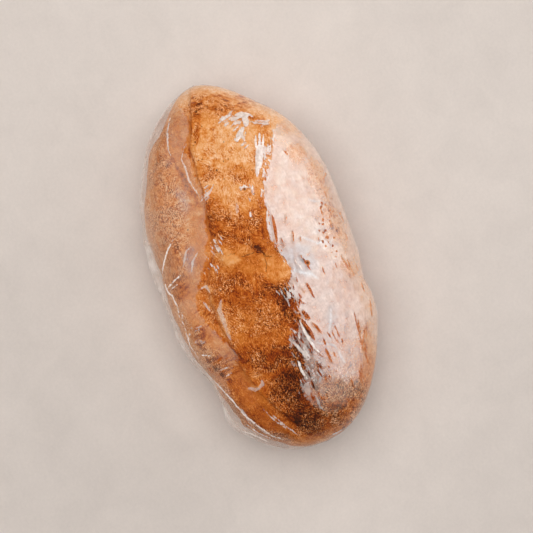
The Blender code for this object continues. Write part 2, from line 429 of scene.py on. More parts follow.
toneLines = (                 # darker or lighter lines of the crust, as strokes: width, tone added, points
    # painted shade: the next two lines darken the crust along the fold's groove
    (2.0, 0.26, ((171, 156), (178, 170), (185, 185), (193, 197), (196, 209))),
    (2.2, 0.24, ((208, 331), (222, 343), (237, 355), (246, 366))),
    (1.6, 0.22, ((190, 122), (190, 134), (186, 148), (186, 158))),
    # painted shade: the next three lines darken the crust between the gathered film's pleats
    (1.8, 0.22, ((206, 362), (216, 360), (226, 358))), (1.2, 0.25, ((214, 368), (230, 362))),
    (1.2, 0.25, ((222, 374), (233, 369))), (1.2, 0.25, ((226, 378), (236, 374))),
    (1.2, 0.2, ((210, 365), (227, 360))), (1.2, 0.2, ((218, 372), (232, 366))),
    (1.4, 0.25, ((192, 333), (198, 330), (204, 331))), (1.2, 0.25, ((190, 340), (197, 338))),
    (1.2, 0.3, ((192, 348), (202, 345))), (1.2, 0.25, ((196, 352), (206, 350))),
    # painted highlights: the next three lighter strokes lie under the film's glints
    (3.4, -0.26, ((222, 299), (219, 311), (224, 323), (228, 337))),
    (2.4, -0.22, ((200, 289), (206, 287), (211, 294))), (2.6, -0.20, ((247, 388), (256, 390), (263, 382))),
    (2.2, 0.16, ((198, 181), (205, 200), (209, 215), (210, 240))),
    (2.4, 0.14, ((192, 120), (190, 134), (187, 148), (189, 160), (196, 176))),
    (2.2, 0.10, ((210, 256), (207, 268), (202, 282), (201, 300), (206, 316), (218, 330), (232, 344))),
    (1.0, 0.25, ((262, 226), (264, 240))), (1.0, 0.22, ((257, 222), (259, 236))),
    (1.0, 0.2, ((253, 216), (255, 226))),
)
# the same, strewn over ovals: x, y, reach x, reach y, how many, turn, length, width, tone added
strewnTones = (
    (225, 100, 40, 9, 90, 14, 9, 0.9, 0.16), (188, 108, 12, 10, 26, -24, 8, 0.9, 0.18),
    (176, 291, 13, 14, 40, -48, 7, 0.9, 0.15), (168, 200, 20, 50, 170, 20, 3, 0.8, 0.15),
    (166, 260, 12, 30, 60, 40, 4, 0.8, 0.15), (198, 332, 9, 22, 26, -40, 7, 0.9, 0.22),
    (217, 370, 14, 12, 20, -30, 9, 0.9, 0.14), (216, 222, 13, 16, 40, 30, 7, 0.9, 0.14),
    (240, 232, 14, 9, 36, 30, 6, 0.9, 0.12), (284, 300, 12, 16, 40, 60, 7, 0.9, 0.16),
    (300, 338, 9, 30, 36, 58, 9, 0.9, 0.18), (262, 138, 8, 26, 20, 84, 8, 1.0, 0.14),
    (356, 330, 12, 50, 40, 76, 10, 0.9, 0.16), (306, 300, 40, 90, 60, 66, 8, 1.0, 0.10),
    (300, 180, 26, 50, 60, 60, 4, 2.8, -0.20), (318, 250, 26, 50, 50, 60, 4, 2.8, -0.20),
    (328, 205, 14, 60, 110, 62, 4, 1.2, 0.26), (296, 200, 22, 60, 30, 62, 4, 1.2, 0.2),
    (340, 300, 20, 60, 50, 70, 5, 1.3, 0.20), (225, 150, 24, 26, 40, 30, 5, 2.2, -0.08),
    (182, 210, 14, 60, 40, 60, 5, 2.6, -0.10), (330, 220, 12, 60, 36, 62, 7, 0.9, 0.16),
    (350, 405, 20, 28, 120, 40, 3, 1.0, 0.26), (350, 405, 20, 26, 50, 40, 3, 1.2, -0.14),
    (214, 140, 26, 34, 50, 20, 4, 1.8, 0.09), (208, 172, 18, 18, 30, 20, 3, 1.2, 0.16),
    (252, 296, 36, 26, 70, 40, 5, 0.8, 0.12), (308, 418, 28, 16, 60, 20, 4, 0.9, -0.12),
    (286, 384, 22, 20, 50, 40, 4, 0.9, -0.14),
)
bakeSetup = {
    "start": 0.38,
    "drift": (26.0, 0.10),    # mm across and strength
    "mottle": (6.0, 0.15),
    "seed": 8,
    "paintedRimLight": 0.07,              # painted rim light: the crust's tone towards the rim
    "smoothRows": ((96, -39, 40, 12, 14),),    # stretches with less grain
    "speckRows": (            # and stretches in the photo that have more or less of it, as last number
        (346, 404, 26, 30, -30, 0.8), (330, 205, 10, 50, -24, 0.7), (225, 168, 30, 20, 0, 0.2),
        (240, 262, 24, 14, 0, -0.35), (276, 269, 14, 15, 0, -0.30),
    ),
    "speck": (0.12, 1.40),    # how strong the grain is on unbaked crust, and how much more on the most baked
    "bandSpeck": 0.55,        # how much less there is beside the fold, and on smooth stretches
    "smoothSpeck": 0.6,
    "flankSpeck": 0.50,       # how much more on the folded flank
    "blot": (0.45, 0.6),      # the same for the blots
    "rimFrom": (0.90, 0.50),  # upward shares of the surface over which the painted rim light begins
    "rimShare": 0.85,
    "flankRim": 0.15,         # how much darker the painted rim light is on the folded flank
    "darkRim": (0.8, (20.0, 70.0), (335.0, 372.0)),    # how much less there is of it at the dark end, past
                              # this x in mm and this height in the photo
    "stray": ((9.0, 0.6), (3.5, 0.4)),    # mm over which a patch's edge strays, and shares
    "speckStray": 4.0,        # how far that is for stretches with more or less grain
}


patchEdge = (1.45, 0.5)       # shares of a patch's reach over which it fades
pixelsPerMm = 1.3             # near the loaf's top
strokeSetup = {
    "spread": 3.0,            # pixels over which a stroke's field rises
    "least": 0.62,            # half the thinnest stroke that the mesh can carry
    "taper": 0.35,            # how much of its width a stroke loses to its ends
    "fadeIn": (0.15, 0.6),
    # strewn strokes vary in lean, in degrees, and by these shares in length, tone, height, width and milk
    "lean": 8.0,
    "lengths": (0.5, 1.4),
    "tones": (0.5, 1.3),
    "heights": (0.5, 1.2),
    "widths": (0.7, 1.3),
    "milks": (0.6, 1.2),
}


def strokeShare(line, width):
    # 1 along a broken line in the photo, fading over its width and thinning out to both its ends
    away, thin, near = strokeReach(line, 3 * width)
    share = np.zeros(photoX.shape)
    share[near] = np.exp(-(away / (width * thin)) ** 2) * smoothStep(*strokeSetup["fadeIn"], thin)
    return share


def strokeField(line, half):
    # 0.5 at half a stroke's width, in the photo's pixels, and rising evenly inside it, for a crisp edge
    half = max(half, strokeSetup["least"])
    spread, taper = strokeSetup["spread"], strokeSetup["taper"]
    away, thin, near = strokeReach(line, half + spread)
    field = np.zeros(photoX.shape)
    field[near] = np.clip(0.5 + (half * ((1 + taper) * thin - taper) - away) / spread, 0, 1)
    return field


def strokeReach(line, margin):
    # distance to a broken line and how far it has thinned out, for the points near it
    xs, ys = zip(*line)
    near = (photoX > min(xs) - margin) & (photoX < max(xs) + margin)
    near &= (photoY > min(ys) - margin) & (photoY < max(ys) + margin)
    x, y = photoX[near], photoY[near]
    best = np.full(x.shape, 1e9)
    at = np.zeros(x.shape)
    steps = [math.dist(a, b) for a, b in zip(line[:-1], line[1:])]
    run = 0.0
    for (ax, ay), (bx, by), step in zip(line[:-1], line[1:], steps):
        t = np.clip(((x - ax) * (bx - ax) + (y - ay) * (by - ay)) / step ** 2, 0, 1)
        away = np.hypot(x - ax - t * (bx - ax), y - ay - t * (by - ay))
        at = np.where(away < best, (run + t * step) / sum(steps), at)
        best = np.minimum(best, away)
        run += step
    return best, np.sqrt(np.clip(4 * at * (1 - at), 0.05, 1)), near


def strewnLines(draw, px, py, reachX, reachY, count, turn, length):
    # short lines strewn over an oval, in the photo's pixels, each turned and sized a little differently
    lines = []
    for _ in range(count):
        spin, away = draw.uniform(0, 2 * math.pi), math.sqrt(draw.uniform(0, 1))
        ax, ay = px + reachX * away * math.cos(spin), py + reachY * away * math.sin(spin)
        lean = math.radians(turn + draw.normal() * strokeSetup["lean"])
        reach = length * draw.uniform(*strokeSetup["lengths"])
        lines.append(((ax, ay), (ax + reach * math.cos(lean), ay + reach * math.sin(lean))))
    return lines


def patchShare(place, oval, strayed, reach):
    # 1 inside an oval patch, fading over its edge, which strays this far
    px, py, length, width, turn = oval
    c, s = math.cos(math.radians(turn)), math.sin(math.radians(turn))
    dx, dy = place[0] - px + strayed[0] * reach, place[1] - py + strayed[1] * reach
    along, across = (dx * c + dy * s) / length, (-dx * s + dy * c) / width
    return smoothStep(*patchEdge, np.hypot(along, across))


def strays(x, y, z, layers, seeds):
    # how a patch's edge wanders, across and along, for two seeds each
    (coarse, more), (fine, less) = layers
    return [more * softNoise(x, y, z, coarse, first) + less * softNoise(x, y, z, fine, second)
            for first, second in seeds]


def crustGaps(setup):
    # mm between crust and film where they lie together, and how far the film stands off beyond that
    towardFold = smoothStep(*setup["towardFold"], formOut[..., 1])
    foldedSide = towardFold * smoothStep(*setup["downToFold"], faceUp)
    low = smoothStep(*setup["offUnder"], faceUp)
    standOff = sum(reach * np.exp(-((formX - at) / spread) ** 2) for at, reach, spread in setup["gapRows"])
    share = smoothStep(*setup["sideToTop"], faceUp)
    rest = setup["sideGap"] + (setup["gap"] - setup["sideGap"]) * share
    return rest, standOff * foldedSide * low


def foldRelief(setup):
    # the top crust laps over the folded flank: a crest, then a step down into a hollow
    line = np.array(setup["foldLine"], float)
    reach, cell = setup["foldWander"]
    past = np.interp(seenX, line[:, 0], line[:, 1]) + reach * softNoise(seenX, 0, 0, cell, 5) - seenY
    drop = setup["foldDrop"] * smoothStep(*setup["foldRun"], past)
    drop = drop * (1 - smoothStep(setup["foldRun"][1], setup["foldHollow"], past))
    high, at, wide = setup["foldCrest"]
    crest = high * np.exp(-((past - at) / wide) ** 2)
    return (crest - drop) * smoothStep(*setup["foldEnds"], np.abs(formX)) * onTop


def poreField(setup):
    draw = np.random.default_rng(setup["seed"])
    rings, spokes = form.shape[:2]
    margin, reach = setup["tipMargin"], setup["poreReach"]
    pore = np.zeros((rings, spokes))
    for _ in range(setup["pores"]):
        i = draw.integers(margin, rings - margin)
        j = draw.integers(0, spokes // 2)
        size = draw.uniform(*setup["poreSize"])
        block = np.ix_(np.arange(i - reach, i + reach + 1), np.arange(j - reach, j + reach + 1) % spokes)
        away = np.linalg.norm(form[block] - form[i, j], axis=-1)
        pore[block] = np.maximum(pore[block], np.exp(-(away / size) ** 2))
    for px, py, size in setup["poreSpots"]:
        pore = np.maximum(pore, np.exp(-(np.hypot(photoX - px, photoY - py) / size / pixelsPerMm) ** 2))
    return pore * onTop


def crustRelief(setup):
    # mm that the crust rises, and where it is cracked or open
    height = foldRelief(setup)
    for cell, amount in setup["lumps"]:
        height += amount * softNoise(formX, formY, formZ, cell, int(cell))
    cell, amount = setup["crackle"]
    wide, middle = setup["plates"]
    height += amount * (smoothStep(0.0, wide, np.abs(softNoise(formX, formY, formZ, cell, 31))) - middle)
    cell, amount = setup["grain"]
    height += amount * layeredNoise(formX, formY, formZ, cell, 41, 2)
    crack = np.zeros(height.shape)
    for half, *line in setup["cracks"]:
        crack = np.maximum(crack, strokeField(line, half))
    crack *= onTop
    height -= setup["crackDepth"] * crack
    for px, py, across, deep in setup["pitRows"]:
        pit = np.exp(-(np.hypot(seenX - px, seenY - py) / across) ** 2) * onTop
        height -= deep * pit
        crack = np.maximum(crack, pit)
    px, py, across, high = setup["lumpRow"]
    height += high * smoothStep(*setup["lumpEdge"], np.hypot(seenX - px, seenY - py) / across) * onTop
    pore = poreField(setup)
    height -= setup["poreDepth"] * pore
    return height, np.maximum(crack, pore)


def bakeWithPaintedLight(setup, strayed):
    # how baked each point is, from 0 to 1, with painted light and shade mixed in: rim light, highlights, and
    # shade in the fold's groove and the pleats' hollows
    cell, amount = setup["drift"]
    bakeAndPaintedLight = setup["start"] + amount * softNoise(formX, formY, formZ, cell, 51)
    for *oval, tone, strength, stray in bakeRows:
        share = patchShare(onLoaf, oval, strayed, stray) * strength * onTop
        bakeAndPaintedLight += (tone - bakeAndPaintedLight) * share
    for *oval, tone, strength, stray in bakeAndPaintedLightSpots:
        share = patchShare(onPhoto, oval, strayed, stray) * strength * upward
        bakeAndPaintedLight += (tone - bakeAndPaintedLight) * share
    # painted rim light: the crust is lightened toward its rim, less so at the dark end
    less, alongLoaf, downPhoto = setup["darkRim"]
    paintedRimLight = smoothStep(*setup["rimFrom"], faceUp)
    paintedRimLight = paintedRimLight * (1 - less * smoothStep(*alongLoaf, formX) * smoothStep(*downPhoto, photoY))
    bakeAndPaintedLight += (setup["paintedRimLight"] + setup["flankRim"] * foldedFlank - bakeAndPaintedLight) * setup["rimShare"] * paintedRimLight * onTop
    for width, tone, line in toneLines:
        bakeAndPaintedLight += tone * strokeShare(line, width) * upward
    draw = np.random.default_rng(setup["seed"])
    for *place, width, tone in strewnTones:
        for line in strewnLines(draw, *place):
            added = tone * draw.uniform(*strokeSetup["tones"])
            bakeAndPaintedLight += added * strokeShare(line, width) * upward
    cell, amount = setup["mottle"]
    return bakeAndPaintedLight + amount * layeredNoise(formX, formY, formZ, cell, 71)


def shapeCrust(setup, tones):
    rest, standOff = crustGaps(setup)
    height, crack = crustRelief(setup)
    room = rest + standOff - setup["clear"] * rest
    height = room - np.logaddexp(0, (room - height) / setup["soften"]) * setup["soften"]
    evenOut = blurred(blurred(formOut, setup["evenOver"], 1, True), setup["evenOver"], 0, False)
    evenOut /= np.linalg.norm(evenOut, axis=-1, keepdims=True)
    points = form + evenOut * (height - rest - standOff)[..., None]
    points[..., 2] = np.maximum(points[..., 2], setup["lowest"])
    tips = formTips.copy()
    tips[:, 0] *= setup["tipShare"]

    strayed = strays(formX, formY, formZ, tones["stray"], ((61, 63), (62, 64)))
    bakeAndPaintedLight = bakeWithPaintedLight(tones, strayed)
    (speck, speckMore), (blot, blotMore) = tones["speck"], tones["blot"]
    speck = speck + speckMore * np.clip(bakeAndPaintedLight, 0, 1)
    speck *= 1 - tones["bandSpeck"] * foldBand
    for oval in tones["smoothRows"]:
        speck *= 1 - tones["smoothSpeck"] * patchShare(onLoaf, oval, strayed, tones["speckStray"])
    speck += tones["flankSpeck"] * foldedFlank * (1 - foldBand)
    for *oval, more in tones["speckRows"]:
        speck += more * patchShare(onPhoto, oval, strayed, tones["speckStray"])
    layers = {"bakeAndPaintedLight": bakeAndPaintedLight, "crack": crack, "speck": speck, "blot": blot + blotMore * np.clip(bakeAndPaintedLight, 0, 1)}
    return points, tips, layers, standOff


def nodesOf(material):
    material.use_nodes = True
    tree = material.node_tree
    tree.nodes.clear()
    return tree


def addNode(tree, kind, inputs=None, **settings):
    node = tree.nodes.new(kind)
    for name, value in settings.items():
        setattr(node, name, value)
    for name, value in (inputs or {}).items():
        if isinstance(value, bpy.types.NodeSocket):
            tree.links.new(value, node.inputs[name])
        else:
            node.inputs[name].default_value = value
    return node


def mathNode(tree, operation, a, b=0.0, c=None, clamp=False):
    inputs = {0: a, 1: b}
    if c is not None:
        inputs[2] = c
    return addNode(tree, "ShaderNodeMath", inputs, operation=operation, use_clamp=clamp).outputs[0]


def times(tree, a, b):
    return mathNode(tree, "MULTIPLY", a, b)


def swayOf(tree, share, strength):
    # a share from 0 to 1 turned to a sway of so much to either side of 0
    return times(tree, mathNode(tree, "SUBTRACT", share, 0.5), strength * 2)


def spanNode(tree, value, span, onto=(0.0, 1.0), kind="SMOOTHSTEP"):
    # carries a value from one span onto another
    inputs = {"Value": value, "From Min": span[0], "From Max": span[1], "To Min": onto[0], "To Max": onto[1]}
    return addNode(tree, "ShaderNodeMapRange", inputs, interpolation_type=kind).outputs["Result"]


def vectorNode(tree, operation, inputs):
    return addNode(tree, "ShaderNodeVectorMath", inputs, operation=operation).outputs[0]


def mixColours(tree, share, a, b):
    return addNode(tree, "ShaderNodeMix", {0: share, 6: a, 7: b}, data_type="RGBA").outputs[2]


def attributeOf(tree, name):
    return addNode(tree, "ShaderNodeAttribute", attribute_name=name).outputs["Fac"]


def placeOf(tree):
    return addNode(tree, "ShaderNodeTexCoord").outputs["Object"]


def noiseOf(tree, place, scale, detail=2.0, rough=0.5, warp=0.0, output="Fac"):
    inputs = {"Vector": place, "Scale": scale, "Detail": detail, "Roughness": rough, "Distortion": warp}
    return addNode(tree, "ShaderNodeTexNoise", inputs).outputs[output]


def strokesOf(tree, place, turn, length, noise):
    # noise drawn out along a direction over the loaf, in degrees from its length
    inputs = {"Vector": place, "Rotation": (0, 0, math.radians(turn)), "Scale": (length, 1.0, 1.0)}
    along = addNode(tree, "ShaderNodeMapping", inputs, vector_type="TEXTURE").outputs[0]
    return noiseOf(tree, along, *noise)


def bumpOf(tree, height, strength):
    inputs = {"Strength": strength, "Distance": bumpReach, "Height": height}
    return addNode(tree, "ShaderNodeBump", inputs).outputs["Normal"]


def surfaceOf(tree, shader):
    out = addNode(tree, "ShaderNodeOutputMaterial")
    tree.links.new(shader.outputs[0], out.inputs["Surface"])


bumpReach = 0.0006            # m
crustFinish = {               # a noise is given as: per m, detail, roughness, warp
    "colours": (              # from least to most baked
        (0.00, (0.97, 0.64, 0.40)), (0.16, (0.86, 0.395, 0.130)), (0.30, (0.72, 0.235, 0.040)),
        (0.44, (0.56, 0.135, 0.012)), (0.58, (0.37, 0.062, 0.006)), (0.72, (0.20, 0.029, 0.004)),
        (0.86, (0.085, 0.017, 0.004)), (1.00, (0.028, 0.009, 0.004)),
    ),
    "swirl": ((85.0, 2.0), 0.005),    # how the fibres of the crust wander, and how far in m
    "fibres": ((1650.0, 1.5, 0.6, 0.3), 0.27),    # and strength
    "fibreLength": 4.0,       # times their width
    "fibreTurns": (12.0, 52.0, -28.0),
    "fibreSpan": (0.34, 0.66),       # shares of that noise that make the lightest and darkest fibres
    "turnNoises": ((70.0, 1.0, 0.5, 0.6), (98.0, 1.0, 0.5, 0.6)),
    "turnSpan": (0.50, 0.56),
    "grains": ((1900.0, 1.5, 0.5, 0.8), 0.80),
    "calm": ((75.0, 2.0, 0.5, 0.8), (0.38, 0.60), (0.45, 1.35)),    # where fibres and grains come and go
    "blots": ((200.0, 3.0, 0.6, 1.2), 0.34),
    "crackColour": (0.085, 0.020, 0.006),
    "crackFray": 0.4,         # how far the grains fray a crack's edge
    "crackSpan": ((0.66, 0.84), (0.0, 0.8)),
    "roughness": (0.55, 0.8),
    "specular": 0.06,
    "bump": 0.5,
}


def bakeColours(tree, tone, colours):
    ramp = addNode(tree, "ShaderNodeValToRGB", {"Fac": tone})
    stops = ramp.color_ramp.elements
    while len(stops) > 1:
        stops.remove(stops[-1])
    for k, (at, colour) in enumerate(colours):
        stop = stops[0] if k == 0 else stops.new(at)
        stop.position = at
        stop.color = (*colour, 1.0)
    return ramp.outputs["Color"]


def crustMaterial(finish):
    material = bpy.data.materials.new("bakedCrust")
    tree = nodesOf(material)
    place = placeOf(tree)
    noise, reach = finish["swirl"]
    swirl = noiseOf(tree, place, *noise, output="Color")
    swirl = vectorNode(tree, "SUBTRACT", {0: swirl, 1: (0.5, 0.5, 0.5)})
    moved = vectorNode(tree, "ADD", {0: place, 1: vectorNode(tree, "SCALE", {0: swirl, "Scale": reach})})
    # short strokes of the browned skin, in directions that take turns over it
    noise, fibreStrength = finish["fibres"]
    length, turns = finish["fibreLength"], finish["fibreTurns"]
    fibres, *others = [strokesOf(tree, moved, turn, length, noise) for turn in turns]
    for other, noise in zip(others, finish["turnNoises"]):
        share = spanNode(tree, noiseOf(tree, place, *noise), finish["turnSpan"])
        fibres = addNode(tree, "ShaderNodeMix", {0: share, 2: fibres, 3: other}, data_type="FLOAT").outputs[0]
    fibres = spanNode(tree, fibres, finish["fibreSpan"])
    noise, grainStrength = finish["grains"]
    grains = noiseOf(tree, place, *noise)
    swing = mathNode(tree, "ADD", swayOf(tree, fibres, fibreStrength), swayOf(tree, grains, grainStrength))
    noise, span, onto = finish["calm"]
    swing = times(tree, swing, spanNode(tree, noiseOf(tree, moved, *noise), span, onto, "LINEAR"))
    swing = times(tree, swing, attributeOf(tree, "speck"))
    noise, blotStrength = finish["blots"]
    blots = noiseOf(tree, place, *noise)
    more = times(tree, swayOf(tree, blots, blotStrength), attributeOf(tree, "blot"))
    swing = mathNode(tree, "ADD", swing, more)
    tone = mathNode(tree, "ADD", attributeOf(tree, "bakeAndPaintedLight"), swing, clamp=True)
    cracked = mathNode(tree, "MULTIPLY_ADD", grains, finish["crackFray"], attributeOf(tree, "crack"))
    colour = mixColours(tree, spanNode(tree, cracked, *finish["crackSpan"]),
                        bakeColours(tree, tone, finish["colours"]), (*finish["crackColour"], 1.0))
    surfaceOf(tree, addNode(tree, "ShaderNodeBsdfPrincipled", {
        "Base Color": colour, "Roughness": spanNode(tree, blots, (0.0, 1.0), finish["roughness"], "LINEAR"),
        "Normal": bumpOf(tree, fibres, finish["bump"]), "Specular IOR Level": finish["specular"]}))
    return material


crustPoints, crustTips, crustLayers, standingOff = shapeCrust(crustSetup, bakeSetup)
crust = gridMesh("crust", crustPoints, crustTips, crustLayers)
crust.data.materials.append(crustMaterial(crustFinish))
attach(crust, "root")
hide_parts("wrapped_loaf")
print("crust shaped and coloured")


# The film

filmSetup = {
    "inset": 0.35,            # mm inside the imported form
    "tautSpan": 26,           # points to either side that the film spans a hollow between
    "tautShare": 0.8,         # how much of the way it rises to the straight line
    "tautMost": 4.2,          # mm that it rises over a hollow at most
    "tautSoft": 2.0,          # points that this rise is evened out over
    "ripples": (              # mm along the loaf, mm across it, and height
        (34.0, 4.2, 0.07),
        (4.0, 17.0, 0.05),
        (15.0, 15.0, 0.12),
    ),
    "gathers": (6.5, 60.0, 0.42),    # mm round the loaf, mm down its side, and height
    "roundLoaf": (1.85, 95.0),       # its length over its width, and mm for each turn of a radian
    "side": (0.62, 0.15),     # upward shares of the surface where the sides begin, and where they end below
    "sideFoot": (-0.98, -0.6),
    "skirtFull": 5.0,         # mm off the crust at which the skirt is at its milkiest, and its gathers' share
    "skirtPleats": 0.9,
    "lowest": 0.1,            # mm up
    "seed": 4,
}

# Where the film stands off the crust it mirrors the window and looks milky, and where it clings to the
# crust it is clear. On the pale side the milk is painted reflection of the window. These edges, creases
# and marks are places in the photo, in its pixels.
standOffEdges = {
    # the pale right side's left edge, x for each y, and its lower edge
    "pale": ((100, 340), (112, 310), (118, 290), (124, 277), (130, 273), (140, 273), (152, 272), (162, 270),
             (170, 267), (180, 265), (195, 264), (209, 267), (225, 268), (240, 272), (246, 278), (262, 286),
             (268, 292), (279, 291), (284, 288), (295, 292), (303, 297), (315, 299), (324, 300), (335, 297),
             (352, 299), (362, 303), (376, 304), (393, 304), (405, 313), (412, 325), (420, 360)),
    "paleEnd": ((290, 426), (322, 418), (342, 410), (356, 396), (366, 380), (374, 362), (400, 340)),
    "stray": ((9.0, 0.6), (4.0, 0.4)),    # pixels over which a patch's edge strays, and shares
    "paleFade": 9.0,          # pixels over which the pale side begins and ends, and its lower edge's stray
    "paleStray": (5.0, 9.0),
    "milkyFade": 7.0,
    "lift": (0.4, -8.0, 40.0),      # share of the milk at its lower end, and pixels above it where that grows
    "milk": 0.07,             # how milky the left flank is, the pale side, its rim, and its lower part; on the pale side this milk is painted reflection of the window, at its rim partly painted rim light
    "bandMilk": (0.10, 0.7, 12.0),  # added beside the fold, its mottle and the mottle's cell
    "palePaintedReflection": 0.46,
    "rimMilkAndPaintedLight": 0.27,
    "highRimPaintedLight": (0.15, 270, 200),      # added to the rim's, high in the photo
    "lowPaintedReflection": (0.31, 305, 350),    # from one height in the photo to another
    "rimFrom": (0.72, 0.30),  # upward shares of the surface
    "sideChange": (236, 254), # where the left flank's film gives way to the pale side's
    "mottle": (0.75, 10.0),   # how cloudy all of it is, and the clouds' size
    "underMilk": (0.14, 0.8, 24.0), # below the loaf's widest line
    "underStanding": 0.6,     # how far it stands off there
    "warmFlank": 0.9,         # how warm the milk over the folded flank is
    "creaseMilk": 0.35,       # added along a crease
    "liftFrom": (250, 290),   # where the pale side's lower end begins, in pixels from the left
}
# stretches that are milkier or clearer: x, y, reach, reach, turn, haze, how far the edge strays; on the pale
# side they set the strength of its painted reflection
hazeAndPaintedLightSpots = (
    (177, 139, 9, 18, -4, 0.20, 3), (183, 200, 6, 14, -15, 0.24, 3), (190, 261, 7, 15, 0, 0.26, 3),
    (206, 292, 8, 8, 0, 0.20, 3), (168, 215, 14, 20, 0, 0.10, 5), (214, 338, 14, 22, -40, 0.14, 4),
    (176, 290, 11, 13, -30, 0.03, 4), (220, 368, 14, 8, 40, 0.02, 3), (255, 392, 16, 26, -38, 0.02, 4),
    (156, 158, 6, 7, 0, 0.01, 2), (176, 249, 4, 7, -8, 0.02, 2), (281, 137, 12, 8, 30, 0.34, 4),
    (297, 153, 11, 9, 30, 0.12, 4), (300, 262, 18, 14, 20, 0.56, 4), (318, 178, 9, 22, -25, 0.17, 5),
    (335, 222, 8, 24, -20, 0.18, 5), (310, 225, 14, 20, -20, 0.52, 5), (349, 268, 7, 12, -30, 0.20, 4),
    (362, 400, 8, 20, 20, 0.08, 4), (340, 388, 18, 16, 0, 0.24, 4), (290, 118, 30, 12, 30, 0.10, 5),
    (320, 376, 12, 12, 0, 0.24, 4), (200, 338, 10, 24, -34, 0.03, 3), (330, 408, 6, 5, 0, 0.16, 3),
    (338, 292, 14, 14, 0, 0.42, 5), (368, 345, 6, 22, -8, 0.12, 4),
)
coolSpots = (                 # and those that look grey rather than cream
    (298, 260, 20, 18, 20, 1.0, 4), (183, 202, 7, 14, -15, 0.9, 3), (190, 261, 6, 13, 0, 0.9, 3),
    (326, 344, 10, 12, 0, 0.6, 4), (268, 222, 4, 20, -6, 0.8, 2), (306, 334, 5, 18, -30, 0.35, 2),
    (168, 163, 4, 4, 0, 0.8, 2), (332, 318, 6, 12, 0, 0.6, 4),
)
